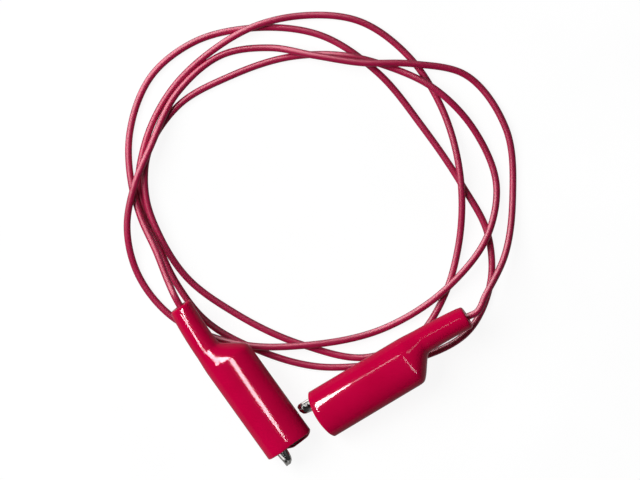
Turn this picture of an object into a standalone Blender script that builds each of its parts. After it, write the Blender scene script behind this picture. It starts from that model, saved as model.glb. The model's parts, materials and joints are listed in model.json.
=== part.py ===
"""Alligator test lead: two spring clips in moulded boots, one on each end of a flexible cord.

Metres, +Z up. The lead lies on the plane z = 0. Each clip is modelled about its own pivot:
x runs to the nose of the jaws, z to the thumb lever, and y along the pivot pin.
"""

import math

import bmesh
import bpy
from mathutils import Euler, Matrix, Vector

MM = 0.001

# Clearances
FIT_GAP = 0.3 * MM            # between pieces that touch
BITE_GAP = 0.4 * MM           # between the closed jaws, measured along z
BOOT_GAP = 0.5 * MM           # between the clip and the boot's inner wall
MERGE = 0.00001

# Stamped jaws
SHEET = 0.5 * MM
BEND = 0.45 * MM              # corner of the folded channel
JAW_REACH = 20.6 * MM         # pivot to nose
NOSE_LAND = 1.2 * MM          # flat bite at the tip
NOSE_TIP_HALF = 1.0 * MM      # half the width of the very tip
NOSE_HALF = 2.1 * MM          # half the width across the teeth
NOSE_ROUND = 2.4 * MM         # length over which the nose rounds in to its tip
TOOTH_PITCH = 1.4 * MM
TOOTH_DEPTH = 0.7 * MM
TOOTH_COUNT = 6
RELIEF = 1.0 * MM             # how far the edges stand back behind the teeth
RELIEF_RAMP = 0.8 * MM
HEEL_DEPTH = 2.9 * MM         # depth of the channel under the pivot
EAR_HALF = 2.8 * MM           # half the width over the fixed jaw's ears
EAR_RADIUS = 2.2 * MM
EAR_FLARE = 1.2 * MM          # length of the shoulder before and behind an ear

# Depth of each jaw's nose, and the length over which it holds that depth before it grows to the heel
FIXED_DEPTH = 1.75 * MM
FIXED_CURL = 1.8 * MM
MOVING_DEPTH = 1.8 * MM
MOVING_CURL = 4.4 * MM

# Thumb lever of the moving jaw
LEVER_LENGTH = 13.5 * MM
LEVER_RISE = 9.2 * MM
LEVER_ROOT = 1.0 * MM         # where the lever's slope starts, ahead of the pivot
LEVER_HALF = 2.5 * MM
LEVER_FLANGE = 1.6 * MM       # depth of its folded edges
LEVER_FLARE = 4.6 * MM        # how far behind the pivot it reaches its full width
RIB_COUNT = 5
RIB_PITCH = 1.2 * MM
RIB_HEIGHT = 0.22 * MM

# Tail of the fixed jaw, with the screw terminal and the crimp
TAIL_WALL = 1.3 * MM
TAIL_DEPTH = 1.9 * MM         # depth of the tail under the clip's axis
TAIL_BEND_START = 5.0 * MM
TAIL_BEND_END = 11.0 * MM
SCREW_PLACE = 16.0 * MM
TERMINAL_HALF = 2.6 * MM
TERMINAL_TAPER = 2.0 * MM     # length over which the tail narrows behind the screw
NECK_TAIL_HALF = 1.85 * MM
CRIMP_START = 25.2 * MM
CRIMP_LENGTH = 3.4 * MM
CRIMP_SLOT = 1.2 * MM

# Pin, screw, spring and wire
PIN_RADIUS = 0.8 * MM
PIN_HEAD_RADIUS = 1.5 * MM
PIN_HEAD = 0.5 * MM
SCREW_RADIUS = 0.8 * MM
SCREW_HEAD_RADIUS = 1.9 * MM
SCREW_HEAD = 1.0 * MM
SCREW_POINT = 0.6 * MM        # how far the screw stands out under the tail
SCREW_SLOT = 0.5 * MM
SPRING_WIRE = 0.45 * MM
SPRING_WIDTH = 1.9 * MM       # over the coil, between the middles of its end turns
SPRING_LEG = 8.6 * MM
SPRING_TURNS = 3
WIRE_DIAMETER = 0.8 * MM
WIRE_BEND_START = 2.6 * MM    # from the crimp to where the bare wire turns down
WIRE_BEND_END = 3.4 * MM      # from the screw to where it has come down to the tail
WIRE_ASIDE = 0.75 * MM        # how far beside the middle it is there
HOOK_START = math.radians(110)
HOOK_STEP = math.radians(-26)
HOOK_STEPS = 10

# Cord
CORD_DIAMETER = 2.1 * MM
CORD_BARE = 0.6 * MM          # insulation that shows before the crimp
CORD_STRAIGHT = 3.0 * MM      # cord that runs on straight behind a neck
CORD_SPAN = 25.0 * MM         # longest stretch of cord with no point of its own

# Boot
BOOT_WALL = 1.0 * MM
MOUTH_SETBACK = 4.6 * MM      # how far the nose stands out of the boot
SHOULDER_ROOM = 2.0 * MM      # from the end of the lever to the shoulder
SHOULDER_LENGTH = 6.3 * MM
NECK_PAST_CRIMP = 8.6 * MM    # how far the neck reaches behind the crimp
BOOT_PIN_GAP = 0.9 * MM
LEVER_GAP = 0.8 * MM
NECK_BASE_RADIUS = 3.95 * MM
NECK_END_RADIUS = 3.6 * MM
NECK_ROUND = 0.8 * MM
CORD_HOLE_GAP = 0.45 * MM
BODY_TAPER = 0.1 * MM         # how much the straight side closes in by the shoulder
BODY_POWER = 3.0              # squareness of the body's section
ROUND_POWER = 2.0
SECTION_SIDES = 28

# Worked out from the values above
PIN_HOLE_RADIUS = PIN_RADIUS + FIT_GAP
MOVING_EAR_HALF = EAR_HALF - SHEET - FIT_GAP
MOVING_EAR_RADIUS = HEEL_DEPTH - SHEET - BITE_GAP
PIN_FACE = EAR_HALF + FIT_GAP
CRIMP_INNER = CORD_DIAMETER / 2 + FIT_GAP
CRIMP_OUTER = CRIMP_INNER + SHEET
CRIMP_END = CRIMP_START + CRIMP_LENGTH
MOUTH = JAW_REACH - MOUTH_SETBACK
BODY_TOP = LEVER_RISE + LEVER_GAP + BOOT_WALL
BODY_BOTTOM = -(HEEL_DEPTH + BOOT_GAP + BOOT_WALL)
BODY_HALF = PIN_FACE + PIN_HEAD + BOOT_PIN_GAP + BOOT_WALL
CORD_HOLE_RADIUS = CORD_DIAMETER / 2 + CORD_HOLE_GAP
SHOULDER_START = MOUTH + LEVER_LENGTH + SHOULDER_ROOM
NECK_START = SHOULDER_START + SHOULDER_LENGTH
BOOT_LENGTH = MOUTH + CRIMP_END + NECK_PAST_CRIMP

# Where each clip lies. The nose of b lies beside the corner of boot a's mouth, so each clip is
# placed by that point: "held" is the point's own x and z on the clip, and "plan" is its place.
# "dip" is how far the nose points down, and "lean" how far the soft neck bends to the lever's side.
CLIPS = {
    "a": {
        "held": (MOUTH, BODY_TOP), "plan": (-0.00339, -0.01337),
        "heading": -54.3, "dip": 5.3, "lean": 0.95 * MM,
    },
    "b": {
        "held": (JAW_REACH, 0.0), "plan": (-0.00619, -0.00848),
        "heading": 211.0, "dip": 5.6, "lean": 0.7 * MM,
    },
}

# Middle of the cord from where it has left boot a to where it enters boot b
CORD_ROUTE = [
    (-0.0457, 0.0303, 0.0092), (-0.0496, 0.0400, 0.0067), (-0.0543, 0.0503, 0.0037),
    (-0.0571, 0.0603, 0.0022), (-0.0576, 0.0759, 0.0011), (-0.0507, 0.0933, 0.0011),
    (-0.0383, 0.1029, 0.0011), (-0.0216, 0.1070, 0.0011), (-0.0002, 0.1048, 0.0011),
    (0.0166, 0.0938, 0.0011), (0.0303, 0.0772, 0.0011), (0.0418, 0.0603, 0.0011),
    (0.0498, 0.0450, 0.0011), (0.0506, 0.0312, 0.0011), (0.0441, 0.0164, 0.0011),
    (0.0285, 0.0080, 0.0011), (0.0141, 0.0059, 0.0011), (-0.0018, 0.0056, 0.0011),
    (-0.0179, 0.0100, 0.0011), (-0.0358, 0.0202, 0.0011), (-0.0435, 0.0303, 0.0011),
    (-0.0509, 0.0468, 0.0011), (-0.0550, 0.0594, 0.0011), (-0.0536, 0.0705, 0.0011),
    (-0.0447, 0.0891, 0.0011), (-0.0327, 0.1004, 0.0018), (-0.0208, 0.1073, 0.0035),
    (-0.0066, 0.1107, 0.0016), (0.0112, 0.1091, 0.0011), (0.0264, 0.0981, 0.0011),
    (0.0354, 0.0842, 0.0012), (0.0417, 0.0601, 0.0034), (0.0407, 0.0405, 0.0015),
    (0.0369, 0.0273, 0.0011), (0.0282, 0.0141, 0.0011), (0.0132, 0.0083, 0.0011),
    (-0.0053, 0.0119, 0.0011), (-0.0258, 0.0214, 0.0011), (-0.0411, 0.0329, 0.0017),
    (-0.0485, 0.0444, 0.0029), (-0.0527, 0.0561, 0.0030), (-0.0524, 0.0687, 0.0029),
    (-0.0432, 0.0837, 0.0014), (-0.0276, 0.0926, 0.0011), (-0.0090, 0.0985, 0.0014),
    (0.0091, 0.0984, 0.0034), (0.0192, 0.0957, 0.0024), (0.0329, 0.0894, 0.0035),
    (0.0459, 0.0761, 0.0013), (0.0523, 0.0600, 0.0014), (0.0499, 0.0455, 0.0034),
    (0.0380, 0.0296, 0.0034), (0.0186, 0.0170, 0.0012), (-0.0054, 0.0119, 0.0034),
    (-0.0213, 0.0118, 0.0034),
    (-0.0333, 0.0146, 0.0018), (-0.0443, 0.0200, 0.0011), (-0.0555, 0.0339, 0.0012),
    (-0.0584, 0.0477, 0.0036), (-0.0564, 0.0591, 0.0053), (-0.0515, 0.0711, 0.0051),
    (-0.0432, 0.0879, 0.0026), (-0.0295, 0.0992, 0.0011), (-0.0152, 0.1011, 0.0017),
    (-0.0024, 0.0988, 0.0048), (0.0114, 0.0966, 0.0057), (0.0270, 0.0963, 0.0036),
    (0.0429, 0.0931, 0.0011), (0.0552, 0.0768, 0.0011), (0.0572, 0.0567, 0.0011),
    (0.0549, 0.0393, 0.0041), (0.0488, 0.0267, 0.0096),
]


def new_collection(name):
    collection = bpy.data.collections.new(name)
    bpy.context.scene.collection.children.link(collection)
    return collection


def material(name, colour, roughness, metallic):
    made = bpy.data.materials.new(name)
    made.use_nodes = True
    shader = made.node_tree.nodes["Principled BSDF"]
    shader.inputs["Base Color"].default_value = (*colour, 1.0)
    shader.inputs["Roughness"].default_value = roughness
    shader.inputs["Metallic"].default_value = metallic
    return made


def place(obj, collection, parent=None):
    collection.objects.link(obj)
    obj.parent = parent
    return obj


def mesh_object(name, bm, smooth_angle=35):
    bmesh.ops.recalc_face_normals(bm, faces=bm.faces)
    mesh = bpy.data.meshes.new(name)
    bm.to_mesh(mesh)
    bm.free()
    mesh.shade_smooth()
    mesh.set_sharp_from_angle(angle=math.radians(smooth_angle))
    return bpy.data.objects.new(name, mesh)


def cylinder(name, radius, length, centre, turn=(0.0, 0.0, 0.0), sides=32):
    """A cylinder with its axis along z before it is turned, and no corner on its x or y axis."""
    bm = bmesh.new()
    bmesh.ops.create_cone(
        bm, cap_ends=True, segments=sides, radius1=radius, radius2=radius, depth=length
    )
    half_side = Matrix.Rotation(math.pi / sides, 4, "Z")
    bm.transform(Matrix.Translation(centre) @ Euler(turn).to_matrix().to_4x4() @ half_side)
    return mesh_object(name, bm)


def block(name, size, centre):
    bm = bmesh.new()
    bmesh.ops.create_cube(bm, size=1.0)
    bm.transform(Matrix.Translation(centre) @ Matrix.Diagonal((*size, 1.0)))
    return mesh_object(name, bm)


def cut(obj, cutter, operation="DIFFERENCE"):
    step = obj.modifiers.new(operation.lower() + "_" + cutter.name, "BOOLEAN")
    step.operation = operation
    step.solver = "EXACT"
    step.object = cutter
    cutter.hide_render = True
    cutter.display_type = "WIRE"


def loft(name, sections, capped, smooth_angle=35, split=False):
    """Join closed sections of equal point count, each a list of (x, y, z).

    With split, each face between sections becomes two flat triangles, which cuts meet cleanly.
    """
    bm = bmesh.new()
    rings = [[bm.verts.new(point) for point in section] for section in sections]
    count = len(rings[0])
    for ring, following in zip(rings, rings[1:]):
        for i in range(count):
            j = (i + 1) % count
            bm.faces.new((ring[i], ring[j], following[j], following[i]))
    if split:
        bmesh.ops.triangulate(bm, faces=bm.faces, quad_method="FIXED")
    if capped:
        bm.faces.new(rings[0])
        bm.faces.new(rings[-1])
    return mesh_object(name, bm, smooth_angle)


def turned(name, profile, steps=24):
    """A solid of revolution about z; the profile runs down its outer side at +x."""
    mesh = bpy.data.meshes.new(name)
    points = [(radius, 0.0, height) for radius, height in profile]
    edges = [(i, i + 1) for i in range(len(points) - 1)]
    mesh.from_pydata(points, edges, [])
    obj = bpy.data.objects.new(name, mesh)
    screw = obj.modifiers.new("turn", "SCREW")
    screw.axis = "Z"
    screw.steps = steps
    screw.render_steps = steps
    screw.use_merge_vertices = True
    screw.merge_threshold = MERGE
    screw.use_smooth_shade = True
    return obj


def tube(name, points, diameter, resolution):
    """A round wire with filled ends through the given points."""
    curve = bpy.data.curves.new(name, "CURVE")
    curve.dimensions = "3D"
    curve.bevel_depth = diameter / 2
    curve.bevel_resolution = resolution
    curve.use_fill_caps = True
    spline = curve.splines.new("POLY")
    spline.points.add(len(points) - 1)
    for slot, point in zip(spline.points, points):
        slot.co = (*point, 1.0)
    return bpy.data.objects.new(name, curve)


def blend(start, end, share):
    return start + (end - start) * min(max(share, 0.0), 1.0)


def rounded(share):
    """Quarter of an ellipse: 0 to 1, steep first."""
    share = min(max(share, 0.0), 1.0)
    return math.sqrt(1.0 - (1.0 - share) ** 2)


def channel_section(x, half, back, floor, edge):
    """One U section of folded sheet: outer corners, free edges, inner corners."""
    up = 1.0 if edge > back else -1.0
    lift = min(BEND, abs(edge - floor))
    inner = half - SHEET
    foot = inner - (BEND - lift) / 2
    corner = back + up * BEND
    return [
        (x, half, edge), (x, half, corner), (x, half - BEND, back),
        (x, -half + BEND, back), (x, -half, corner), (x, -half, edge),
        (x, -inner, edge), (x, -foot, floor + up * lift), (x, -inner + BEND, floor),
        (x, inner - BEND, floor), (x, foot, floor + up * lift), (x, inner, edge),
    ]


def bite_line():
    """Edge of the closed bite from the nose back: a flat land, then the teeth."""
    land_end = JAW_REACH - NOSE_LAND
    line = [(JAW_REACH, 0.0)]
    for step in range(2 * TOOTH_COUNT + 1):
        line.append((land_end - step * TOOTH_PITCH / 2, -TOOTH_DEPTH * (step % 2)))
    return line


def jaw_depth(x, side):
    """Distance from the bite to a jaw's back: level along the nose, then a straight taper."""
    if side < 0:
        depth, curl = FIXED_DEPTH, FIXED_CURL
    else:
        depth, curl = MOVING_DEPTH, MOVING_CURL
    taper_end = EAR_RADIUS + EAR_FLARE
    share = (JAW_REACH - curl - x) / (JAW_REACH - curl - taper_end)
    return blend(depth, HEEL_DEPTH, share)


def jaw_half(x, ear_half):
    """Half the width of a jaw ahead of the pivot."""
    nose = NOSE_TIP_HALF + (NOSE_HALF - NOSE_TIP_HALF) * rounded((JAW_REACH - x) / NOSE_ROUND)
    flare_start = EAR_RADIUS + 3 * EAR_FLARE
    return blend(nose, ear_half, (flare_start - x) / (2 * EAR_FLARE))


def jaw_front(side, ear_half):
    """Sections of a jaw from its nose to the front of its ear; side is -1 fixed, 1 moving."""
    sections = []
    land_end = JAW_REACH - NOSE_LAND
    for x, height in bite_line():
        back = side * jaw_depth(x, side)
        edge = height + side * BITE_GAP / 2
        floor = edge if x >= land_end else back - side * SHEET
        sections.append(channel_section(x, jaw_half(x, ear_half), back, floor, edge))
    relief_start = bite_line()[-1][0] - RELIEF_RAMP
    for x in (relief_start, EAR_RADIUS + 3 * EAR_FLARE, EAR_RADIUS + EAR_FLARE):
        back = side * jaw_depth(x, side)
        sections.append(
            channel_section(x, jaw_half(x, ear_half), back, back - side * SHEET, side * RELIEF)
        )
    return sections


def ear_arc(radius, steps=8):
    """Points over the round end of an ear, front to back: (x, height over the pivot)."""
    angles = [math.pi * i / steps for i in range(steps + 1)]
    return [(radius * math.cos(angle), radius * math.sin(angle)) for angle in angles]


def tail_depth(x):
    share = (-TAIL_BEND_START - x) / (TAIL_BEND_END - TAIL_BEND_START)
    return blend(HEEL_DEPTH, TAIL_DEPTH, share)


def fixed_jaw(clip, parts, cutters, frame, metal):
    sections = jaw_front(-1, EAR_HALF)
    for x, height in ear_arc(EAR_RADIUS):
        sections.append(channel_section(x, EAR_HALF, -HEEL_DEPTH, -HEEL_DEPTH + SHEET, height))
    tail = [
        (-EAR_RADIUS - EAR_FLARE, EAR_HALF),
        (-TAIL_BEND_START, EAR_HALF),
        (-TAIL_BEND_END, TERMINAL_HALF),
        (-SCREW_PLACE - SCREW_HEAD_RADIUS, TERMINAL_HALF),
        (-SCREW_PLACE - SCREW_HEAD_RADIUS - TERMINAL_TAPER, NECK_TAIL_HALF),
        (-CRIMP_START - SHEET, NECK_TAIL_HALF),
    ]
    for x, half in tail:
        back = -tail_depth(x)
        sections.append(channel_section(x, half, back, back + SHEET, back + TAIL_WALL))
    jaw = place(loft("fixed_jaw_" + clip, sections, True, split=True), parts, frame)

    middle = -(CRIMP_START + CRIMP_END) / 2
    along_x = (0.0, math.pi / 2, 0.0)
    crimp = cylinder("crimp_" + clip, CRIMP_OUTER, CRIMP_LENGTH, (middle, 0, 0), along_x)
    bore = cylinder("crimp_bore_" + clip, CRIMP_INNER, 3 * CRIMP_LENGTH, (middle, 0, 0), along_x)
    slot = block(
        "crimp_slot_" + clip,
        (2 * CRIMP_LENGTH, CRIMP_SLOT, 2 * CRIMP_OUTER),
        (middle, 0, CRIMP_OUTER),
    )
    for tool in (crimp, bore, slot):
        place(tool, cutters, frame)
    cut(jaw, crimp, "UNION")
    cut(jaw, bore)
    cut(jaw, slot)

    across = (math.pi / 2, 0.0, 0.0)
    pin_hole = cylinder("pin_hole_" + clip, PIN_HOLE_RADIUS, 4 * EAR_HALF, (0, 0, 0), across)
    screw_hole = cylinder(
        "screw_hole_" + clip, SCREW_RADIUS + FIT_GAP, 4 * SHEET, (-SCREW_PLACE, 0, -TAIL_DEPTH)
    )
    for tool in (pin_hole, screw_hole):
        place(tool, cutters, frame)
        cut(jaw, tool)
    jaw.data.materials.append(metal)
    return jaw


def lever_height(x):
    return HEEL_DEPTH + (LEVER_RISE - HEEL_DEPTH) * (LEVER_ROOT - x) / (LEVER_ROOT + LEVER_LENGTH)


def moving_jaw(clip, parts, cutters, frame, metal):
    sections = jaw_front(1, MOVING_EAR_HALF)
    for x, height in ear_arc(MOVING_EAR_RADIUS):
        back = lever_height(min(x, LEVER_ROOT))
        sections.append(channel_section(x, MOVING_EAR_HALF, back, back - SHEET, -height))
    ribs_start = -LEVER_LENGTH + RIB_COUNT * RIB_PITCH + RIB_PITCH / 2
    places = [(-MOVING_EAR_RADIUS - EAR_FLARE, 0.0), (-LEVER_FLARE, 0.0), (ribs_start, 0.0)]
    for step in range(1, 2 * RIB_COUNT):
        places.append((ribs_start - step * RIB_PITCH / 2, RIB_HEIGHT * (step % 2)))
    places += [(-LEVER_LENGTH + RIB_PITCH / 2, 0.0), (-LEVER_LENGTH, -RIB_HEIGHT)]
    for x, rib in places:
        back = lever_height(x)
        flare = blend(MOVING_EAR_HALF, LEVER_HALF, (-x - MOVING_EAR_RADIUS) / EAR_FLARE)
        half = flare if x > -LEVER_LENGTH else LEVER_HALF - BEND
        sections.append(channel_section(x, half, back + rib, back - SHEET, back - LEVER_FLANGE))
    jaw = place(loft("moving_jaw_" + clip, sections, True), parts, frame)
    across = (math.pi / 2, 0.0, 0.0)
    bore = cylinder("ear_hole_" + clip, PIN_HOLE_RADIUS, 4 * EAR_HALF, (0, 0, 0), across)
    cut(jaw, place(bore, cutters, frame))
    jaw.data.materials.append(metal)
    return jaw


def pivot_pin(clip, parts, frame, metal):
    """A riveted pin with low domed heads."""
    top = PIN_FACE + PIN_HEAD
    upper = [
        (0.0, top), (PIN_HEAD_RADIUS * 0.6, top - PIN_HEAD * 0.15),
        (PIN_HEAD_RADIUS, PIN_FACE + PIN_HEAD * 0.4), (PIN_HEAD_RADIUS, PIN_FACE),
        (PIN_RADIUS, PIN_FACE),
    ]
    lower = [(radius, -height) for radius, height in reversed(upper)]
    pin = place(turned("pivot_pin_" + clip, upper + lower), parts, frame)
    pin.rotation_euler = (math.pi / 2, 0.0, 0.0)
    pin.data.materials.append(metal)
    return pin


def terminal_screw(clip, parts, cutters, frame, metal):
    head_base = -TAIL_DEPTH + SHEET + FIT_GAP + WIRE_DIAMETER + FIT_GAP
    head_top = head_base + SCREW_HEAD
    point = -TAIL_DEPTH - SCREW_POINT
    profile = [
        (0.0, head_top), (SCREW_HEAD_RADIUS * 0.75, head_top),
        (SCREW_HEAD_RADIUS, head_top - SCREW_HEAD * 0.35), (SCREW_HEAD_RADIUS, head_base),
        (SCREW_RADIUS, head_base), (SCREW_RADIUS, point + SCREW_POINT * 0.5),
        (SCREW_RADIUS * 0.6, point), (0.0, point),
    ]
    screw = place(turned("terminal_screw_" + clip, profile), parts, frame)
    screw.location = (-SCREW_PLACE, 0.0, 0.0)
    slot = block(
        "driver_slot_" + clip,
        (SCREW_SLOT, 3 * SCREW_HEAD_RADIUS, SCREW_HEAD),
        (-SCREW_PLACE, 0.0, head_top),
    )
    cut(screw, place(slot, cutters, frame))
    screw.data.materials.append(metal)
    return screw


def spring(clip, parts, frame, metal):
    """A torsion coil on the pin: one leg on the tail's floor, one under the lever."""
    radius = PIN_RADIUS + FIT_GAP + SPRING_WIRE / 2
    seat = FIT_GAP + SPRING_WIRE / 2
    floor_end = Vector((-SPRING_LEG, -tail_depth(-SPRING_LEG) + SHEET + seat))
    lever_end = Vector((-SPRING_LEG, lever_height(-SPRING_LEG) - SHEET - seat))
    start = math.atan2(floor_end.y, floor_end.x) + math.acos(radius / floor_end.length)
    end = math.atan2(lever_end.y, lever_end.x) - math.acos(radius / lever_end.length)
    sweep = (end - start) % math.tau + math.tau * SPRING_TURNS
    steps = round(sweep / math.radians(30))
    edge = SPRING_WIDTH / 2
    points = [(floor_end.x, -edge, floor_end.y)]
    for step in range(steps + 1):
        angle = start + sweep * step / steps
        across = -edge + SPRING_WIDTH * step / steps
        points.append((radius * math.cos(angle), across, radius * math.sin(angle)))
    points.append((lever_end.x, edge, lever_end.y))
    coil = place(tube("spring_" + clip, points, SPRING_WIRE, 1), parts, frame)
    coil.data.materials.append(metal)
    return coil


def conductor(clip, parts, frame, copper):
    """The bare wire: out of the cord's end, down to the tail and round the screw."""
    rest = -TAIL_DEPTH + SHEET + FIT_GAP + WIRE_DIAMETER / 2
    turn_radius = SCREW_RADIUS + FIT_GAP + WIRE_DIAMETER / 2
    points = [
        (-CRIMP_START + CORD_BARE + FIT_GAP, 0.0, 0.0),
        (-CRIMP_START + WIRE_BEND_START, 0.0, 0.0),
        (-SCREW_PLACE - WIRE_BEND_END, WIRE_ASIDE, rest),
    ]
    for step in range(HOOK_STEPS):
        angle = HOOK_START + HOOK_STEP * step
        x = -SCREW_PLACE + turn_radius * math.cos(angle)
        points.append((x, turn_radius * math.sin(angle), rest))
    wire = place(tube("conductor_" + clip, points, WIRE_DIAMETER, 1), parts, frame)
    wire.data.materials.append(copper)
    return wire


def boot_section(along, top, bottom, half, power, shift):
    """One rounded section of the boot, with a flat facet in the middle of each broad side."""
    flat = math.cos(math.pi / SECTION_SIDES) ** (2 / power)
    middle = (top + bottom) / 2 + shift
    points = []
    for i in range(SECTION_SIDES):
        angle = math.tau * (i + 0.5) / SECTION_SIDES
        across = math.copysign(abs(math.cos(angle)) ** (2 / power), math.cos(angle)) / flat
        rise = math.copysign(abs(math.sin(angle)) ** (2 / power), math.sin(angle))
        points.append((MOUTH - along, half * across, middle + (top - bottom) / 2 * rise))
    return points


def neck_radius(along):
    share = (along - NECK_START) / (BOOT_LENGTH - NECK_START)
    return blend(NECK_BASE_RADIUS, NECK_END_RADIUS, share)


def neck_shift(along, lean):
    """The soft neck bends sideways from just behind the shoulder."""
    share = max(along - NECK_START, 0.0) / (BOOT_LENGTH - NECK_START)
    return lean * share ** 2


# How the body gives way to the neck over the shoulder: (share of its length, share of the drop)
SHOULDER_PROFILE = [(-0.25, 0.0), (0.0, 0.03), (0.2, 0.12), (0.37, 0.28), (0.86, 0.88), (1.0, 0.98)]


def boot(clip, parts, frame, vinyl, lean):
    """Open shell: wide body, sloped shoulder on the lever side, round neck with a cord hole."""
    sections = []
    for along in (0.0, SHOULDER_START / 3, SHOULDER_START * 2 / 3):
        closing = BODY_TAPER * along / SHOULDER_START
        sections.append(
            boot_section(along, BODY_TOP, BODY_BOTTOM + closing, BODY_HALF, BODY_POWER, 0.0)
        )
    for share, drop in SHOULDER_PROFILE:
        along = SHOULDER_START + share * SHOULDER_LENGTH
        bottom = BODY_BOTTOM + BODY_TAPER
        sections.append(
            boot_section(
                along,
                blend(BODY_TOP, NECK_BASE_RADIUS, drop),
                blend(bottom, -NECK_BASE_RADIUS, drop),
                blend(BODY_HALF, NECK_BASE_RADIUS, drop),
                blend(BODY_POWER, ROUND_POWER, drop),
                0.0,
            )
        )
    neck_length = BOOT_LENGTH - NECK_START
    for share in (0.1, 0.32, 0.54, 0.76):
        along = NECK_START + share * neck_length
        radius = neck_radius(along)
        shift = neck_shift(along, lean)
        sections.append(boot_section(along, radius, -radius, radius, ROUND_POWER, shift))
    shift = neck_shift(BOOT_LENGTH, lean)
    for step in range(4):
        angle = math.pi / 2 * step / 3
        along = BOOT_LENGTH - NECK_ROUND * (1 - math.sin(angle))
        radius = NECK_END_RADIUS - NECK_ROUND * (1 - math.cos(angle))
        sections.append(boot_section(along, radius, -radius, radius, ROUND_POWER, shift))
    hole = CORD_HOLE_RADIUS
    sections.append(boot_section(BOOT_LENGTH, hole, -hole, hole, ROUND_POWER, shift))
    shell = place(loft("boot_" + clip, sections, False, 60), parts, frame)
    wall = shell.modifiers.new("wall", "SOLIDIFY")
    wall.thickness = BOOT_WALL
    wall.offset = -1.0
    wall.use_even_offset = True
    wall.use_rim = True
    shell.data.materials.append(vinyl)
    return shell


def clip_frame(clip, parts):
    """An empty on the clip's pivot. The clip lies on its side, so its y axis points down."""
    lie = CLIPS[clip]
    dip = math.radians(lie["dip"])
    heading = math.radians(lie["heading"])
    held_x, held_z = lie["held"]
    offset = Matrix.Rotation(heading, 2) @ Vector((held_x * math.cos(dip), held_z))
    pivot = Vector(lie["plan"]) - offset
    height = MOUTH * math.sin(dip) + BODY_HALF * math.cos(dip)
    frame = bpy.data.objects.new("clip_" + clip, None)
    frame.location = (pivot.x, pivot.y, height)
    frame.rotation_euler = (-math.pi / 2, dip, heading)
    return place(frame, parts)


def frame_matrix(frame):
    return Matrix.Translation(frame.location) @ frame.rotation_euler.to_matrix().to_4x4()


def cord_end(frame, lean):
    """Middle of the cord inside a clip, from the crimp to just outside the boot's neck."""
    behind = BOOT_LENGTH - MOUTH
    bend = (CRIMP_END + behind) / 2
    slope = 2 * lean / (BOOT_LENGTH - NECK_START)
    local = [
        (-CRIMP_START + CORD_BARE, 0.0),
        (-CRIMP_END, 0.0),
        (-bend, neck_shift(MOUTH + bend, lean)),
        (-behind, lean),
        (-behind - CORD_STRAIGHT, lean + slope * CORD_STRAIGHT),
    ]
    return [frame_matrix(frame) @ Vector((x, 0.0, z)) for x, z in local]


def smooth_points(points, longest):
    """Read a smooth curve through the points: each of them, and the middle of each long span."""
    points = [Vector(point) for point in points]
    spans = [(b - a).length for a, b in zip(points, points[1:])]
    slopes = [(points[1] - points[0]) / spans[0]]
    for i in range(1, len(points) - 1):
        before = (points[i] - points[i - 1]) / spans[i - 1]
        after = (points[i + 1] - points[i]) / spans[i]
        slopes.append((before * spans[i] + after * spans[i - 1]) / (spans[i - 1] + spans[i]))
    slopes.append((points[-1] - points[-2]) / spans[-1])
    read = [points[0]]
    for i, span in enumerate(spans):
        if span > longest:
            middle = (points[i] + points[i + 1]) / 2
            read.append(middle + (slopes[i] - slopes[i + 1]) * span / 8)
        read.append(points[i + 1])
    return read


def main():
    for obj in list(bpy.data.objects):
        bpy.data.objects.remove(obj)
    parts = new_collection("alligator_test_lead")
    cutters = new_collection("cutters")
    vinyl = material("boot_vinyl", (0.51, 0.0, 0.045), 0.28, 0.0)
    jacket = material("cord_jacket", (0.36, 0.03, 0.07), 0.38, 0.0)
    nickel = material("nickel_plate", (0.72, 0.70, 0.67), 0.28, 1.0)
    spring_steel = material("spring_steel", (0.35, 0.35, 0.36), 0.35, 1.0)
    screw_steel = material("screw_steel", (0.62, 0.61, 0.60), 0.3, 1.0)
    copper = material("copper_strands", (0.83, 0.42, 0.26), 0.3, 1.0)

    ends = {}
    for clip, lie in CLIPS.items():
        frame = clip_frame(clip, parts)
        boot(clip, parts, frame, vinyl, lie["lean"])
        fixed_jaw(clip, parts, cutters, frame, nickel)
        moving_jaw(clip, parts, cutters, frame, nickel)
        pivot_pin(clip, parts, frame, nickel)
        spring(clip, parts, frame, spring_steel)
        terminal_screw(clip, parts, cutters, frame, screw_steel)
        conductor(clip, parts, frame, copper)
        ends[clip] = cord_end(frame, lie["lean"])
    route = ends["a"] + [Vector(point) for point in CORD_ROUTE] + ends["b"][::-1]
    cord = place(tube("cord", smooth_points(route, CORD_SPAN), CORD_DIAMETER, 2), parts)
    cord.data.materials.append(jacket)


main()
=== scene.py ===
"""Looks for the alligator test lead: glossy boots, soft cord and plated jaws on a white light table."""

import json
import math

import bmesh
import bpy
from mathutils import Euler, Matrix, Vector, noise

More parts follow.
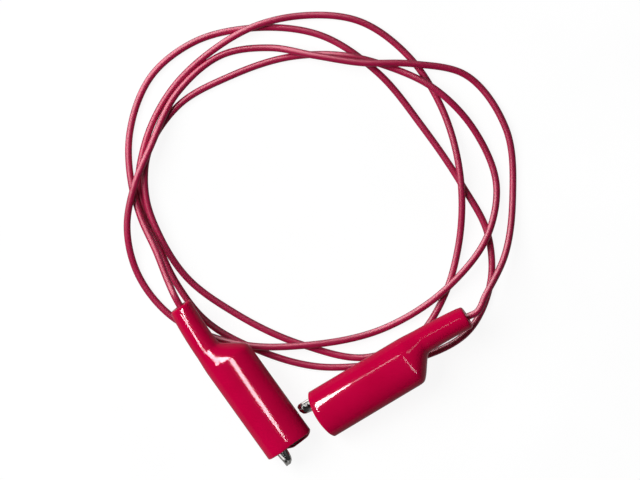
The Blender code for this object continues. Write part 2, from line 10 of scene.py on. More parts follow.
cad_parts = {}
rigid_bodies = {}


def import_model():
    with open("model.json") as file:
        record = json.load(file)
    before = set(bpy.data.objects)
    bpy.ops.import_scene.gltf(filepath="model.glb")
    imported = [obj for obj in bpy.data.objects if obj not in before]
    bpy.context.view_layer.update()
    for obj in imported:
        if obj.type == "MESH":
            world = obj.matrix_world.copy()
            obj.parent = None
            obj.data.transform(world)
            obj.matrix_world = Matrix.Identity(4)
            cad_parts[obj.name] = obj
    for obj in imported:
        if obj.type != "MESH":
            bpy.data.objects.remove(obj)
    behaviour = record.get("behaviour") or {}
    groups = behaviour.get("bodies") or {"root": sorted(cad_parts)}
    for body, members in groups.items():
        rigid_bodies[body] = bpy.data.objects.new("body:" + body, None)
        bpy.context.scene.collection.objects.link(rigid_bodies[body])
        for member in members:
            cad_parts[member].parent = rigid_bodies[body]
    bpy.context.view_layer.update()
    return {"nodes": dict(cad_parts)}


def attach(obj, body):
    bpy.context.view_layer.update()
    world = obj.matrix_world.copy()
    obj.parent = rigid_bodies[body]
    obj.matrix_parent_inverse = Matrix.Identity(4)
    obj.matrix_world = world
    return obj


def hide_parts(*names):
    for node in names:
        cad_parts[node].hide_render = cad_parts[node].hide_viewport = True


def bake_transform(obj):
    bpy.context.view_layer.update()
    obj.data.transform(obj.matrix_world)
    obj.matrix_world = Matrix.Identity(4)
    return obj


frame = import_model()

MM = 0.001

# On each clip x runs from the pivot to the nose, z to the thumb lever and y along the pivot pin
JAW_REACH = 20.6 * MM         # pivot to nose
MOUTH = 16.0 * MM             # pivot to the boot's mouth
BODY_TOP = 11.0 * MM
BODY_BOTTOM = -4.4 * MM
BODY_HALF = 5.5 * MM

# How each clip lies: the held point's x and z on the clip, that point's place in plan, the nose's
# heading and how far it points down, in degrees, and how far the soft neck leans to the lever's side
CLIPS = {
    "a": {
        "held": (MOUTH, BODY_TOP), "plan": (-0.00339, -0.01337),
        "heading": -54.3, "dip": 5.3, "lean": 0.95 * MM,
    },
    "b": {
        "held": (JAW_REACH, 0.0), "plan": (-0.00619, -0.00848),
        "heading": 211.0, "dip": 5.6, "lean": 0.7 * MM,
    },
}

# Boot, measured from its mouth
SHOULDER_START = 31.5 * MM
SHOULDER_LENGTH = 6.3 * MM
NECK_START = SHOULDER_START + SHOULDER_LENGTH
BOOT_LENGTH = 53.2 * MM
BODY_TAPER = 0.1 * MM         # how much the straight side closes in by the shoulder
NECK_BASE_RADIUS = 3.95 * MM
NECK_END_RADIUS = 3.6 * MM
NECK_ROUND = 0.8 * MM
CORD_HOLE_RADIUS = 1.5 * MM
HOLE_ROUND = 0.25 * MM
HOLE_DEPTH = 3 * MM
WALL = 1.0 * MM
LIP = 0.35 * MM
SIDES = 96

# Cord, and the crimp that holds it, measured back from the pivot
CORD_DIAMETER = 2.1 * MM
CRIMP_START = 25.2 * MM
CRIMP_END = 28.6 * MM
CORD_BARE = 0.6 * MM          # how far the jacket reaches past the crimp
CORD_STRAIGHT = 3.0 * MM      # cord that runs on straight behind a neck
CORD_ROUTE = [
    (-0.0457, 0.0303, 0.0092), (-0.0496, 0.0400, 0.0067), (-0.0543, 0.0503, 0.0037),
    (-0.0571, 0.0603, 0.0022), (-0.0576, 0.0759, 0.0011), (-0.0507, 0.0933, 0.0011),
    (-0.0383, 0.1029, 0.0011), (-0.0216, 0.1070, 0.0011), (-0.0002, 0.1048, 0.0011),
    (0.0166, 0.0938, 0.0011), (0.0303, 0.0772, 0.0011), (0.0418, 0.0603, 0.0011),
    (0.0498, 0.0450, 0.0011), (0.0506, 0.0312, 0.0011), (0.0441, 0.0164, 0.0011),
    (0.0285, 0.0080, 0.0011), (0.0141, 0.0059, 0.0011), (-0.0018, 0.0056, 0.0011),
    (-0.0179, 0.0100, 0.0011), (-0.0358, 0.0202, 0.0011), (-0.0435, 0.0303, 0.0011),
    (-0.0509, 0.0468, 0.0011), (-0.0550, 0.0594, 0.0011), (-0.0536, 0.0705, 0.0011),
    (-0.0447, 0.0891, 0.0011), (-0.0327, 0.1004, 0.0018), (-0.0208, 0.1073, 0.0035),
    (-0.0066, 0.1107, 0.0016), (0.0112, 0.1091, 0.0011), (0.0264, 0.0981, 0.0011),
    (0.0354, 0.0842, 0.0012), (0.0417, 0.0601, 0.0034), (0.0407, 0.0405, 0.0015),
    (0.0369, 0.0273, 0.0011), (0.0282, 0.0141, 0.0011), (0.0132, 0.0083, 0.0011),
    (-0.0053, 0.0119, 0.0011), (-0.0258, 0.0214, 0.0011), (-0.0411, 0.0329, 0.0017),
    (-0.0485, 0.0444, 0.0029), (-0.0527, 0.0561, 0.0030), (-0.0524, 0.0687, 0.0029),
    (-0.0432, 0.0837, 0.0014), (-0.0276, 0.0926, 0.0011), (-0.0090, 0.0985, 0.0014),
    (0.0091, 0.0984, 0.0034), (0.0192, 0.0957, 0.0024), (0.0329, 0.0894, 0.0035),
    (0.0459, 0.0761, 0.0013), (0.0523, 0.0600, 0.0014), (0.0499, 0.0455, 0.0034),
    (0.0380, 0.0296, 0.0034), (0.0186, 0.0170, 0.0012), (-0.0054, 0.0119, 0.0034),
    (-0.0213, 0.0118, 0.0034), (-0.0333, 0.0146, 0.0018), (-0.0443, 0.0200, 0.0011),
    (-0.0555, 0.0339, 0.0012), (-0.0584, 0.0477, 0.0036), (-0.0564, 0.0591, 0.0053),
    (-0.0515, 0.0711, 0.0051), (-0.0432, 0.0879, 0.0026), (-0.0295, 0.0992, 0.0011),
    (-0.0152, 0.1011, 0.0017), (-0.0024, 0.0988, 0.0048), (0.0114, 0.0966, 0.0057),
    (0.0270, 0.0963, 0.0036), (0.0429, 0.0931, 0.0011), (0.0552, 0.0768, 0.0011),
    (0.0572, 0.0567, 0.0011), (0.0549, 0.0393, 0.0041), (0.0488, 0.0267, 0.0096),
]


def clip_matrix(clip):
    lie = CLIPS[clip]
    dip = math.radians(lie["dip"])
    heading = math.radians(lie["heading"])
    held_x, held_z = lie["held"]
    offset = Matrix.Rotation(heading, 2) @ Vector((held_x * math.cos(dip), held_z))
    pivot = Vector(lie["plan"]) - offset
    height = MOUTH * math.sin(dip) + BODY_HALF * math.cos(dip)
    turn = Euler((-math.pi / 2, dip, heading)).to_matrix().to_4x4()
    return Matrix.Translation((pivot.x, pivot.y, height)) @ turn


def smooth_read(x, table):
    """Read a table of (x, y) along a smooth line that never overshoots."""
    if x <= table[0][0]:
        return table[0][1]
    for i in range(len(table) - 1):
        x0, y0 = table[i]
        x1, y1 = table[i + 1]
        if x <= x1:
            width = x1 - x0
            steep = (y1 - y0) / width
            left = right = steep
            if i > 0:
                before = (y0 - table[i - 1][1]) / (x0 - table[i - 1][0])
                left = 0.0 if before * steep <= 0 else 2 * before * steep / (before + steep)
            if i < len(table) - 2:
                after = (table[i + 2][1] - y1) / (table[i + 2][0] - x1)
                right = 0.0 if after * steep <= 0 else 2 * after * steep / (after + steep)
            t = (x - x0) / width
            rise = 3 * t ** 2 - 2 * t ** 3
            return (
                y0 + (y1 - y0) * rise + left * width * (t ** 3 - 2 * t ** 2 + t)
                + right * width * (t ** 3 - t ** 2)
            )
    return table[-1][1]


def mix(a, b, share):
    return a + (b - a) * share


# Materials

NOISE_LOW = 0.3               # between these two lies nearly all of a noise
NOISE_HIGH = 0.7
FINE_DETAIL = 2.0
VINYL_CLOUDS = 90.0
METAL_CLOUDS = 500.0
METAL_MARKS = 900.0
MARK_STRETCH = (1.0, 0.3, 1.0)
MARK_STRENGTH = 0.02
MARK_DEPTH = 0.01 * MM
GRAIN_DEPTH = 0.02 * MM
TABLE_CLOUDS = 25.0
TABLE_GLOW = 0.91


def new_material(name):
    made = bpy.data.materials.new(name)
    made.use_nodes = True
    return made, made.node_tree.nodes, made.node_tree.links, made.node_tree.nodes["Principled BSDF"]


def noise_texture(nodes, links, scale, detail=3.0, stretch=(1.0, 1.0, 1.0)):
    """Procedural noise read in the piece's own coordinates."""
    place = nodes.new("ShaderNodeTexCoord")
    mapping = nodes.new("ShaderNodeMapping")
    mapping.inputs["Scale"].default_value = stretch
    found = nodes.new("ShaderNodeTexNoise")
    found.inputs["Scale"].default_value = scale
    found.inputs["Detail"].default_value = detail
    links.new(place.outputs["Object"], mapping.inputs["Vector"])
    links.new(mapping.outputs["Vector"], found.inputs["Vector"])
    return found


def colour_between(nodes, links, source, low, high):
    made = nodes.new("ShaderNodeValToRGB")
    made.color_ramp.elements[0].position = NOISE_LOW
    made.color_ramp.elements[0].color = (*low, 1.0)
    made.color_ramp.elements[1].position = NOISE_HIGH
    made.color_ramp.elements[1].color = (*high, 1.0)
    links.new(source.outputs["Fac"], made.inputs["Fac"])
    return made.outputs["Color"]


def value_between(nodes, links, source, low, high):
    made = nodes.new("ShaderNodeMapRange")
    made.inputs["From Min"].default_value = NOISE_LOW
    made.inputs["From Max"].default_value = NOISE_HIGH
    made.inputs["To Min"].default_value = low
    made.inputs["To Max"].default_value = high
    links.new(source.outputs["Fac"], made.inputs["Value"])
    return made.outputs["Result"]


def add_bump(nodes, links, shader, source, strength, distance):
    bump = nodes.new("ShaderNodeBump")
    bump.inputs["Strength"].default_value = strength
    bump.inputs["Distance"].default_value = distance
    links.new(source.outputs["Fac"], bump.inputs["Height"])
    links.new(bump.outputs["Normal"], shader.inputs["Normal"])


def soft_material(name, low, high, rough_low, rough_high, level, grain_scale, strength):
    """Moulded plastic: slow drifts of tone and gloss, and a fine grain."""
    made, nodes, links, shader = new_material(name)
    clouds = noise_texture(nodes, links, VINYL_CLOUDS)
    grain = noise_texture(nodes, links, grain_scale, FINE_DETAIL)
    links.new(colour_between(nodes, links, clouds, low, high), shader.inputs["Base Color"])
    links.new(value_between(nodes, links, clouds, rough_low, rough_high), shader.inputs["Roughness"])
    shader.inputs["Specular IOR Level"].default_value = level
    add_bump(nodes, links, shader, grain, strength, GRAIN_DEPTH)
    return made


def metal_material(name, low, high, rough_low, rough_high):
    """Plated or bare metal with faint drawing marks."""
    made, nodes, links, shader = new_material(name)
    clouds = noise_texture(nodes, links, METAL_CLOUDS)
    marks = noise_texture(nodes, links, METAL_MARKS, FINE_DETAIL, MARK_STRETCH)
    links.new(colour_between(nodes, links, clouds, low, high), shader.inputs["Base Color"])
    links.new(value_between(nodes, links, marks, rough_low, rough_high), shader.inputs["Roughness"])
    shader.inputs["Metallic"].default_value = 1.0
    add_bump(nodes, links, shader, marks, MARK_STRENGTH, MARK_DEPTH)
    return made


def table_material():
    """White light table that glows a little, so that shadows on it stay faint."""
    made, nodes, links, shader = new_material("light_table_look")
    clouds = noise_texture(nodes, links, TABLE_CLOUDS)
    links.new(
        colour_between(nodes, links, clouds, (0.12, 0.12, 0.12), (0.14, 0.14, 0.14)),
        shader.inputs["Base Color"],
    )
    shader.inputs["Roughness"].default_value = 0.8
    shader.inputs["Specular IOR Level"].default_value = 0.1
    shader.inputs["Emission Color"].default_value = (1.0, 1.0, 1.0, 1.0)
    shader.inputs["Emission Strength"].default_value = TABLE_GLOW
    return made


# Each soft look: two tones, two roughnesses, gloss level, grain's scale and strength.
# Each metal look: two tones and two roughnesses.
VINYL = soft_material(
    "boot_vinyl_look", (0.62, 0.0004, 0.052), (0.69, 0.0007, 0.062), 0.085, 0.105, 0.2, 900.0, 0.0015
)
# The boot's inner wall: the vinyl painted much darker, as painted shade for the shadowed inside of the
# mouth, and rougher
VINYL_PAINTED_SHADE = soft_material(
    "boot_inside_look", (0.16, 0.0010, 0.018), (0.22, 0.0015, 0.026), 0.50, 0.65, 0.2, 900.0, 0.1
)
JACKET = soft_material(
    "cord_jacket_look", (0.40, 0.003, 0.052), (0.47, 0.006, 0.070), 0.34, 0.40, 0.5, 2600.0, 0.003
)
NICKEL = metal_material("nickel_plate_look", (0.70, 0.68, 0.65), (0.82, 0.80, 0.77), 0.12, 0.22)
SPRING_STEEL = metal_material("spring_steel_look", (0.28, 0.28, 0.29), (0.42, 0.42, 0.43), 0.25, 0.42)
SCREW_STEEL = metal_material("screw_steel_look", (0.52, 0.51, 0.50), (0.66, 0.65, 0.63), 0.20, 0.38)
COPPER = metal_material("copper_strands_look", (0.74, 0.36, 0.22), (0.88, 0.48, 0.30), 0.18, 0.32)


# Metal pieces

BEVEL = 0.07 * MM
MERGE_GAP = 0.0001 * MM
FLAT_ANGLE = math.radians(1.0)      # faces this close to one plane become one
SHARP_ANGLE = math.radians(24.0)    # edges sharper than this are rounded
STAMPED_SMOOTH = math.radians(30)
WIRE_SMOOTH = math.radians(60)
BITE_CLOSE = 0.12 * MM              # how far each jaw's bite edge comes towards the other
BITE_BAND = 1.2 * MM                # height beside the bite that follows its edge
CURL_EASE = 5 * MM                  # length over which the bite edges come closer
NOSE_CUTS = [19.9, 20.15, 20.4]     # sections that let the nose curl smoothly, in mm from the pivot
# How the pressed noses curl: mm from the pivot, scale of the depth, shift to the lever's side in mm
NOSE_SHAPE = {
    "a": [
        (11.0, 1.0, 0.0), (16.0, 0.88, 0.35), (18.5, 0.84, 0.24), (19.75, 0.70, 0.0),
        (20.6, 0.44, -0.40),
    ],
    "b": [
        (11.0, 1.0, 0.0), (16.0, 1.02, -0.70), (18.5, 1.02, -0.95), (19.75, 0.92, -1.15),
        (20.6, 0.48, -1.45),
    ],
}


def add_piece(name, data, look, body, node):
    piece = bpy.data.objects.new(name, data)
    bpy.context.scene.collection.objects.link(piece)
    data.materials.append(look)
    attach(piece, body)
    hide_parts(node)
    return piece


def curl_nose(bm, clip, side):
    """Draw the jaw's nose down to a rounded point; side is -1 for the fixed jaw, 1 for the moving one."""
    place = clip_matrix(clip)
    inverse = place.inverted()
    forward = place.to_3x3() @ Vector((1.0, 0.0, 0.0))
    for cut in NOSE_CUTS:
        bmesh.ops.bisect_plane(
            bm, geom=bm.verts[:] + bm.edges[:] + bm.faces[:], dist=MERGE_GAP,
            plane_co=place @ Vector((cut * MM, 0.0, 0.0)), plane_no=forward,
        )
    scales = [(x, scale) for x, scale, shift in NOSE_SHAPE[clip]]
    shifts = [(x, shift) for x, scale, shift in NOSE_SHAPE[clip]]
    start = scales[0][0] * MM
    for vert in bm.verts:
        point = inverse @ vert.co
        if point.x <= start:
            continue
        share = min((point.x - start) / CURL_EASE, 1.0)
        near_bite = max(0.0, 1.0 - abs(point.z) / BITE_BAND)
        height = point.z - side * BITE_CLOSE * share * near_bite
        shift = smooth_read(point.x / MM, shifts) * MM
        point.z = height * smooth_read(point.x / MM, scales) + shift
        vert.co = place @ point


def rounded_copy(node, name, look, body, nose=0):
    """The node's own shape with its sharp edges rounded as stamping and plating leave them."""
    bm = bmesh.new()
    bm.from_mesh(frame["nodes"][node].data)
    bmesh.ops.remove_doubles(bm, verts=bm.verts, dist=MERGE_GAP)
    bmesh.ops.dissolve_limit(
        bm, angle_limit=FLAT_ANGLE, verts=bm.verts, edges=bm.edges, use_dissolve_boundaries=False
    )
    if nose:
        curl_nose(bm, node[-1], nose)
    sharp = [edge for edge in bm.edges if edge.calc_face_angle(0.0) > SHARP_ANGLE]
    bmesh.ops.bevel(
        bm, geom=sharp, offset=BEVEL, offset_type="OFFSET", segments=2, profile=0.5,
        affect="EDGES", clamp_overlap=True,
    )
    mesh = bpy.data.meshes.new(name)
    bm.to_mesh(mesh)
    bm.free()
    mesh.shade_smooth()
    mesh.set_sharp_from_angle(angle=STAMPED_SMOOTH)
    return add_piece(name, mesh, look, body, node)


def wound_spring(clip):
    """The spring: a smooth-shaded copy of the CAD spring in spring steel, baked where it stands."""
    name = "spring_wound_" + clip
    mesh = frame["nodes"]["spring_" + clip].data.copy()
    mesh.name = name
    mesh.materials.clear()
    mesh.materials.append(SPRING_STEEL)
    mesh.shade_smooth()
    mesh.set_sharp_from_angle(angle=WIRE_SMOOTH)
    piece = bpy.data.objects.new(name, mesh)
    bpy.context.scene.collection.objects.link(piece)
    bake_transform(piece)
    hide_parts("spring_" + clip)


for clip in CLIPS:
    wound_spring(clip)
    rounded_copy("fixed_jaw_" + clip, "fixed_jaw_plated_" + clip, NICKEL, "lead", -1)
    rounded_copy(
        "moving_jaw_" + clip, "moving_jaw_plated_" + clip, NICKEL, "jaw_" + clip, 1
    )
    rounded_copy(
        "terminal_screw_" + clip, "terminal_screw_turned_" + clip, SCREW_STEEL, "lead"
    )
    for name, look in (("pivot_pin_", NICKEL), ("conductor_", COPPER)):
        for used in frame["nodes"][name + clip].material_slots:
            used.material = look


# Cord


def neck_shift(along, lean):
    """How far the leaning neck stands to the lever's side at a place along the boot."""
    share = max(along - NECK_START, 0.0) / (BOOT_LENGTH - NECK_START)
    return lean * share ** 2


def cord_end(clip):
    """Points of the cord from inside the crimp to where it leaves the neck."""
    lean = CLIPS[clip]["lean"]
    behind = BOOT_LENGTH - MOUTH
    bend = (CRIMP_END + behind) / 2
    slope = 2 * lean / (BOOT_LENGTH - NECK_START)
    local = [
        (-CRIMP_START + CORD_BARE, 0.0),
        (-CRIMP_END, 0.0),
        (-bend, neck_shift(MOUTH + bend, lean)),
        (-behind, lean),
        (-behind - CORD_STRAIGHT, lean + slope * CORD_STRAIGHT),
    ]
    return [clip_matrix(clip) @ Vector((x, 0.0, z)) for x, z in local]


def slopes_at(points, spans):
    """The cord's direction at each point, weighed by the spans on both sides."""
    slopes = [(points[1] - points[0]) / spans[0]]
    for i in range(1, len(points) - 1):
        before = (points[i] - points[i - 1]) / spans[i - 1]
        after = (points[i + 1] - points[i]) / spans[i]
        slopes.append((before * spans[i] + after * spans[i - 1]) / (spans[i - 1] + spans[i]))
    slopes.append((points[-1] - points[-2]) / spans[-1])
    return slopes


def make_cord():
    points = cord_end("a") + [Vector(p) for p in CORD_ROUTE] + cord_end("b")[::-1]
    spans = [(q - p).length for p, q in zip(points, points[1:])]
    slopes = slopes_at(points, spans)
    curve = bpy.data.curves.new("cord_jacket", "CURVE")
    curve.dimensions = "3D"
    curve.bevel_depth = CORD_DIAMETER / 2
    curve.bevel_resolution = 8
    curve.resolution_u = 16
    curve.use_fill_caps = True
    spline = curve.splines.new("BEZIER")
    spline.bezier_points.add(len(points) - 1)
    for i, (knot, point) in enumerate(zip(spline.bezier_points, points)):
        before = spans[max(i - 1, 0)]
        after = spans[min(i, len(spans) - 1)]
        knot.handle_left_type = "FREE"
        knot.handle_right_type = "FREE"
        knot.co = point
        knot.handle_left = point - slopes[i] * before / 3
        knot.handle_right = point + slopes[i] * after / 3
    cord = add_piece("cord_jacket", curve, JACKET, "lead", "cord")


make_cord()


# Boots

# Share of the drop from the wide body to the round neck, along the boot in mm
SHOULDER = [
    (0.0, 0.0), (30.6, 0.0), (31.5, 0.012), (32.2, 0.045), (33.0, 0.143), (36.8, 0.862), (37.4, 0.950),
    (38.0, 0.988), (39.0, 1.0),
]
BODY_POWER = 2.25             # squareness of the sections, where 2 is round
NECK_POWER = 2.0
INSIDE_DEPTH = 14 * MM        # how far the inner wall is seen from the mouth
INSIDE_STEPS = 7
ROUND_STEPS = 8               # steps round the lip and round the neck's end
HOLE_STEPS = 4
MOUTH_REACH = 9 * MM          # how far from the mouth its uneven cut is felt
SLANT_A = 2.05 * MM           # how far the lower lip of mouth a stands out from the upper one
SETBACK_A = 0.2 * MM          # how far the upper lip of mouth a lies back
BULGE_B = 0.95 * MM           # how far the upper lip of mouth b bulges
BULGE_POWER = 0.7
CORNER_FROM = 0.75            # share of the half height where the mouth's corners begin
CORNER_A = 0.8 * MM           # how far the lever side's corner of mouth a is rounded back
CORNER_B = 0.4 * MM           # how far both corners of mouth b are
WOBBLE_SCALE = 90.0           # slow waves that keep the moulded wall from being perfect
WOBBLE_DEPTH = 0.01 * MM
WALL_MIDDLE = 1.5 * MM        # height on the clip from which the waves point outward


def boot_measures(along, lean):
    """Top, bottom, half width, squareness and sideways shift of the boot at a place."""
    drop = smooth_read(along / MM, SHOULDER)
    down_neck = max(along - NECK_START, 0.0) / (BOOT_LENGTH - NECK_START)
    radius = mix(NECK_BASE_RADIUS, NECK_END_RADIUS, down_neck)
    bottom = BODY_BOTTOM + BODY_TAPER * min(along / SHOULDER_START, 1.0)
    return (
        mix(BODY_TOP, radius, drop), mix(bottom, -radius, drop), mix(BODY_HALF, radius, drop),
        mix(BODY_POWER, NECK_POWER, drop), neck_shift(along, lean),
    )


def cut_shift(clip, along, across, rise):
    """How far the uneven cut of the mouth moves a point towards the nose."""
    near = max(0.0, 1.0 - along / MOUTH_REACH) ** 2
    corner = near * max(0.0, (abs(rise) - CORNER_FROM) / (1.0 - CORNER_FROM)) ** 2
    if clip == "a":
        lever_side = min(max(rise * 1.6 + 0.9, 0.0), 1.0)
        slant = near * lever_side * (SLANT_A * (across + 1.0) / 2 - SETBACK_A)
        return slant - (CORNER_A * corner if rise > 0 else 0.0)
    upper = max(-across, 0.0)
    return BULGE_B * near * upper ** BULGE_POWER * (1.0 - rise * rise) - CORNER_B * corner


def ring(clip, along, top, bottom, half, power, shift):
    """A closed section of the boot."""
    points = []
    middle = (top + bottom) / 2 + shift
    for i in range(SIDES):
        angle = math.tau * (i + 0.5) / SIDES
        c = math.cos(angle)
        s = math.sin(angle)
        across = math.copysign(abs(c) ** (2 / power), c)
        rise = math.copysign(abs(s) ** (2 / power), s)
        front = cut_shift(clip, max(along, 0.0), across, rise)
        points.append(
            Vector((MOUTH - along + front, half * across, middle + (top - bottom) / 2 * rise))
        )
    return points


def boot_stations():
    """Places of the sections from the mouth's lip to the rounded neck end, close over the shoulder."""
    close_from = SHOULDER_START - 2 * MM
    close_to = NECK_START + 1.5 * MM
    spans = [
        (LIP, close_from, 1.5 * MM), (close_from, close_to, 0.25 * MM),
        (close_to, BOOT_LENGTH - NECK_ROUND, 1.0 * MM),
    ]
    stations = []
    for start, end, step in spans:
        count = round((end - start) / step)
        stations += [start + (end - start) * i / count for i in range(count)]
    return stations


def boot_sections(clip):
    """Sections from deep inside the mouth, round its lip, along the outside and into the cord's hole."""
    lean = CLIPS[clip]["lean"]
    inside = []
    for step in range(INSIDE_STEPS + 1):
        along = LIP + (INSIDE_DEPTH - LIP) * (1 - step / INSIDE_STEPS) ** 1.5
        top, bottom, half, power, shift = boot_measures(along, lean)
        inside.append(ring(clip, along, top - WALL, bottom + WALL, half - WALL, power, shift))
    outside = []
    top, bottom, half, power, shift = boot_measures(0.0, lean)
    for step in range(1, ROUND_STEPS + 1):
        angle = math.pi * step / ROUND_STEPS
        inset = WALL / 2 * (1 + math.cos(angle))
        along = LIP * (1 - math.sin(angle))
        outside.append(ring(clip, along, top - inset, bottom + inset, half - inset, power, shift))
    for along in boot_stations()[1:]:
        outside.append(ring(clip, along, *boot_measures(along, lean)))
    shift = neck_shift(BOOT_LENGTH, lean)
    for step in range(ROUND_STEPS + 1):
        angle = math.pi / 2 * step / ROUND_STEPS
        along = BOOT_LENGTH - NECK_ROUND * (1 - math.sin(angle))
        radius = NECK_END_RADIUS - NECK_ROUND * (1 - math.cos(angle))
        outside.append(ring(clip, along, radius, -radius, radius, NECK_POWER, shift))
    for step in range(HOLE_STEPS + 1):
        angle = math.pi / 2 * step / HOLE_STEPS
        radius = CORD_HOLE_RADIUS + HOLE_ROUND * (1 - math.sin(angle))
        along = BOOT_LENGTH - HOLE_ROUND * (1 - math.cos(angle))
        outside.append(ring(clip, along, radius, -radius, radius, NECK_POWER, shift))
    hole_end = BOOT_LENGTH - HOLE_DEPTH
    radius = CORD_HOLE_RADIUS
    shift = neck_shift(hole_end, lean)
    outside.append(ring(clip, hole_end, radius, -radius, radius, NECK_POWER, shift))
    return inside, outside


def make_boot(clip):
    place = clip_matrix(clip)
    seed = Vector((0.0, 0.0, ord(clip)))
    inside, outside = boot_sections(clip)
    bm = bmesh.new()
    rings = []
    for section in inside + outside:
        verts = []
        for point in section:
            outward = Vector((0.0, point.y, point.z - WALL_MIDDLE)).normalized()
            wobble = noise.noise(point * WOBBLE_SCALE + seed) * WOBBLE_DEPTH
            verts.append(bm.verts.new(place @ (point + outward * wobble)))
        rings.append(verts)
    for row, (first, following) in enumerate(zip(rings, rings[1:])):
        for i in range(SIDES):
            j = (i + 1) % SIDES
            face = bm.faces.new((first[i], first[j], following[j], following[i]))
            # The inner wall's faces take the second slot, the vinyl with painted shade
            face.material_index = 1 if row < len(inside) - 1 else 0
    bmesh.ops.recalc_face_normals(bm, faces=bm.faces)
    mesh = bpy.data.meshes.new("boot_shell_" + clip)
    bm.to_mesh(mesh)
    bm.free()
    mesh.shade_smooth()
    add_piece("boot_shell_" + clip, mesh, VINYL, "lead", "boot_" + clip)
    # Second slot: the inner wall's painted shade
    mesh.materials.append(VINYL_PAINTED_SHADE)


for clip in CLIPS:
    make_boot(clip)


# Floor, light and camera

CARD_NEAR = 0.035             # how far the glowing cards hang from the boots
CARD_CLOSE = 0.02
CARD_FAR = 0.09
CARD_STEPS = 6
TABLE_HALF = 8.0
HORIZON_TONE = (0.30, 0.30, 0.30, 1.0)
ZENITH_TONE = (0.03, 0.03, 0.03, 1.0)
HORIZON_END = 0.25
CAMERA_HEIGHT = 3.0
CAMERA_PLACE = Vector((-0.0006, 0.0435, CAMERA_HEIGHT))
PICTURE_WIDTH = 0.192
SENSOR = 36.0

# Directions of the lamps, and the places of those that hang close to the noses
OBJECT_MIDDLE = Vector((0.0, 0.04, 0.0))
KEY_WAY = (-0.90, 0.22, 1.0)
ABOVE_WAY = (0.0, 0.1, 1.0)
GLINT_WAY = (-0.8, 0.9, 0.5)
SIDE_WAY = (-0.5, 0.85, 0.35)
UP = (0.0, 0.0, 1.0)
OVER_NOSES = (-0.012, -0.029, 0.105)
BESIDE_NOSE_B = (-0.030, 0.034, 0.023)


def surface_point(clip, x, z):
    """A point on the boot's upper side, given on the clip's own x and z."""
    top, bottom, half, power, shift = boot_measures(MOUTH - x, CLIPS[clip]["lean"])
    share = (z - (top + bottom) / 2 - shift) / ((top - bottom) / 2)
    height = half * (1.0 - abs(share) ** power) ** (1 / power)
    return clip_matrix(clip) @ Vector((x, -height, z))


def mirror_image(clip, x, z, distance):
    """Where a lamp has to be for the camera to see it reflected at that point of the boot."""
    here = surface_point(clip, x, z)
    step = 0.05 * MM
    along = surface_point(clip, x + step, z) - surface_point(clip, x - step, z)
    across = surface_point(clip, x, z + step) - surface_point(clip, x, z - step)
    normal = along.cross(across).normalized()
    if normal.z < 0:
        normal = -normal
    view = (CAMERA_PLACE - here).normalized()
    return here + (2 * normal.dot(view) * normal - view) * distance


def strip(stations):
    """The edge points of a strip along the clip, from stations of (x, z, half width) in mm."""
    return [((x, z - half), (x, z + half)) for x, z, half in stations]


def lamp_card(name, clip, edges, radiance, distance):
    """A glowing card whose mirror image on the boot lies between the pairs of (x, z) points in mm."""
    material, nodes, links, shader = new_material(name)
    glow = noise_texture(nodes, links, 3.0)
    links.new(
        colour_between(nodes, links, glow, (0.90, 0.92, 1.0), (1.0, 0.98, 0.96)),
        shader.inputs["Emission Color"],
    )
    shader.inputs["Emission Strength"].default_value = radiance
    shader.inputs["Base Color"].default_value = (0.0, 0.0, 0.0, 1.0)
    bm = bmesh.new()
    rows = []
    for i in range((len(edges) - 1) * CARD_STEPS + 1):
        part = min(i // CARD_STEPS, len(edges) - 2)
        share = i / CARD_STEPS - part
        ends = []
        for (x0, z0), (x1, z1) in zip(edges[part], edges[part + 1]):
            place = mirror_image(clip, mix(x0, x1, share) * MM, mix(z0, z1, share) * MM, distance)
            ends.append(bm.verts.new(place))
        rows.append(ends)
    for (a, b), (c, d) in zip(rows, rows[1:]):
        bm.faces.new((a, b, d, c))
    mesh = bpy.data.meshes.new(name)
    bm.to_mesh(mesh)
    bm.free()
    mesh.materials.append(material)
    card = bpy.data.objects.new(name, mesh)
    bpy.context.scene.collection.objects.link(card)
    card.visible_camera = False
    card.visible_diffuse = False
    card.visible_shadow = False
    card.light_linking.receiver_collection = LIT[clip]


def lit_group(name, starts):
    """The pieces whose names start so, as the only ones that a lamp shines on."""
    group = bpy.data.collections.new(name)
    bpy.context.scene.collection.children.link(group)
    for piece in list(bpy.data.objects):
        if piece.name.startswith(starts):
            group.objects.link(piece)
    return group


def off_middle(direction, distance):
    """The place that far from the middle of the object."""
    return OBJECT_MIDDLE + Vector(direction).normalized() * distance


def area_light(name, direction, place, size, radiance, seen=True):
    """A flat square light at a place, facing against the direction."""
    data = bpy.data.lights.new(name, "AREA")
    data.size = size
    data.energy = radiance * math.pi * size * size
    lamp = bpy.data.objects.new(name, data)
    way = Vector(direction).normalized()
    lamp.location = place
    lamp.rotation_euler = way.to_track_quat("Z", "Y").to_euler()
    lamp.visible_glossy = seen
    bpy.context.scene.collection.objects.link(lamp)
    return lamp


def light_table():
    """White floor that neither lights the object nor shows in its gloss."""
    bm = bmesh.new()
    bmesh.ops.create_grid(bm, x_segments=8, y_segments=8, size=TABLE_HALF)
    mesh = bpy.data.meshes.new("light_table")
    bm.to_mesh(mesh)
    bm.free()
    table = bpy.data.objects.new("light_table", mesh)
    bpy.context.scene.collection.objects.link(table)
    mesh.materials.append(table_material())
    table.visible_diffuse = False
    table.visible_glossy = False
    table.visible_shadow = False


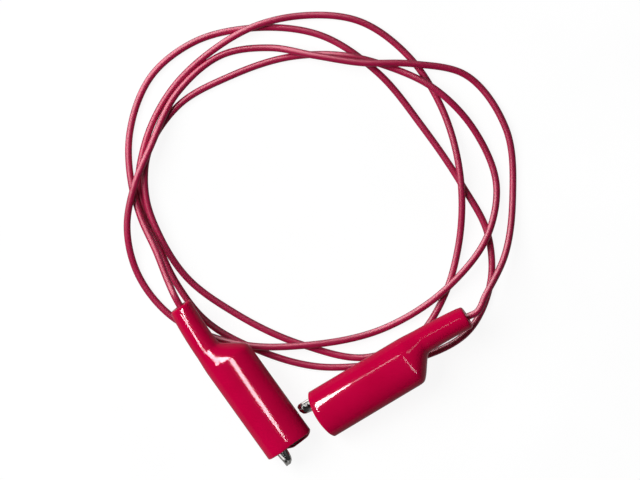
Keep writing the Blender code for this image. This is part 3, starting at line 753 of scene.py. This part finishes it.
def studio_world():
    """White at the horizon, dark overhead, so that gloss stays deep and only edges turn pale."""
    world = bpy.data.worlds.new("studio")
    bpy.context.scene.world = world
    world.use_nodes = True
    nodes = world.node_tree.nodes
    links = world.node_tree.links
    place = nodes.new("ShaderNodeTexCoord")
    split = nodes.new("ShaderNodeSeparateXYZ")
    fade = nodes.new("ShaderNodeValToRGB")
    fade.color_ramp.elements[0].position = 0.0
    fade.color_ramp.elements[0].color = HORIZON_TONE
    fade.color_ramp.elements[1].position = HORIZON_END
    fade.color_ramp.elements[1].color = ZENITH_TONE
    links.new(place.outputs["Generated"], split.inputs["Vector"])
    links.new(split.outputs["Z"], fade.inputs["Fac"])
    links.new(fade.outputs["Color"], nodes["Background"].inputs["Color"])


light_table()
studio_world()
LIT = {clip: lit_group("boot_" + clip + "_alone", "boot_shell_" + clip) for clip in CLIPS}

# Each glowing card: its boot, the edges of its mirror image there, its radiance and its distance
CARDS = {
    "card_body_a": (
        "a",
        strip([(-15.9, 4.05, 0.6), (-6, 3.8, 0.62), (3, 3.55, 0.6), (9, 3.4, 0.4), (14.4, 3.27, 0.1)]),
        45.0, CARD_NEAR,
    ),
    "card_neck_a": (
        "a", strip([(-36.6, -0.15, 0.2), (-29, -0.6, 0.22), (-22.6, -1.06, 0.3)]), 45.0, CARD_NEAR,
    ),
    "card_shoulder_a": ("a", strip([(-21.7, 0.05, 0.45), (-18.5, 0.05, 0.4)]), 60.0, CARD_FAR),
    "card_body_b": (
        "b",
        strip([(18.5, 1.0, 1.2), (16.2, 0.1, 0.78), (11, 0.0, 0.55), (6, -0.1, 0.25), (3, -0.1, 0.15)]),
        80.0, CARD_NEAR,
    ),
    "card_fade_b": ("b", strip([(3, -0.1, 0.15), (-14.2, 0.0, 0.15)]), 14.0, CARD_NEAR),
    "card_ridge_b": (
        "b", [((-15.2, 1.2), (-14.8, 1.2)), ((-16.1, 7.4), (-15.7, 7.4))], 14.0, CARD_CLOSE,
    ),
    "card_neck_b": ("b", strip([(-35.9, -0.1, 0.12), (-21.4, -0.8, 0.12)]), 5.0, CARD_NEAR),
}
for name, card in CARDS.items():
    lamp_card(name, *card)
area_light("key", KEY_WAY, off_middle(KEY_WAY, 1.2), 0.9, 5.6, False)
area_light("above", ABOVE_WAY, off_middle(ABOVE_WAY, 1.3), 1.6, 0.15, False)

# A broad low lamp for the satin cord alone
glint = area_light("glint", GLINT_WAY, off_middle(GLINT_WAY, 1.0), 1.6, 8.0)
glint.visible_diffuse = False
glint.light_linking.receiver_collection = lit_group("cord_alone", "cord_jacket")

# Small lamps by the noses for the plated jaws alone, bright on the fixed ones and faint on the others
jaw_glow = area_light("jaw_glow", UP, OVER_NOSES, 0.055, 1.25)
jaw_glow.light_linking.receiver_collection = lit_group("fixed_jaws_alone", "fixed_jaw_plated")
jaw_side = area_light("jaw_side", SIDE_WAY, BESIDE_NOSE_B, 0.05, 1.3)
jaw_side.light_linking.receiver_collection = lit_group("fixed_jaw_b_alone", "fixed_jaw_plated_b")
jaw_streak = area_light("jaw_streak", UP, OVER_NOSES, 0.02, 0.5)
jaw_streak.light_linking.receiver_collection = lit_group("moving_jaws_alone", "moving_jaw_plated")

camera_data = bpy.data.cameras.new("camera")
camera_data.sensor_width = SENSOR
camera_data.lens = SENSOR * CAMERA_HEIGHT / PICTURE_WIDTH
camera = bpy.data.objects.new("camera", camera_data)
camera.location = CAMERA_PLACE
bpy.context.scene.collection.objects.link(camera)
bpy.context.scene.camera = camera
bpy.context.scene.view_settings.view_transform = "Standard"
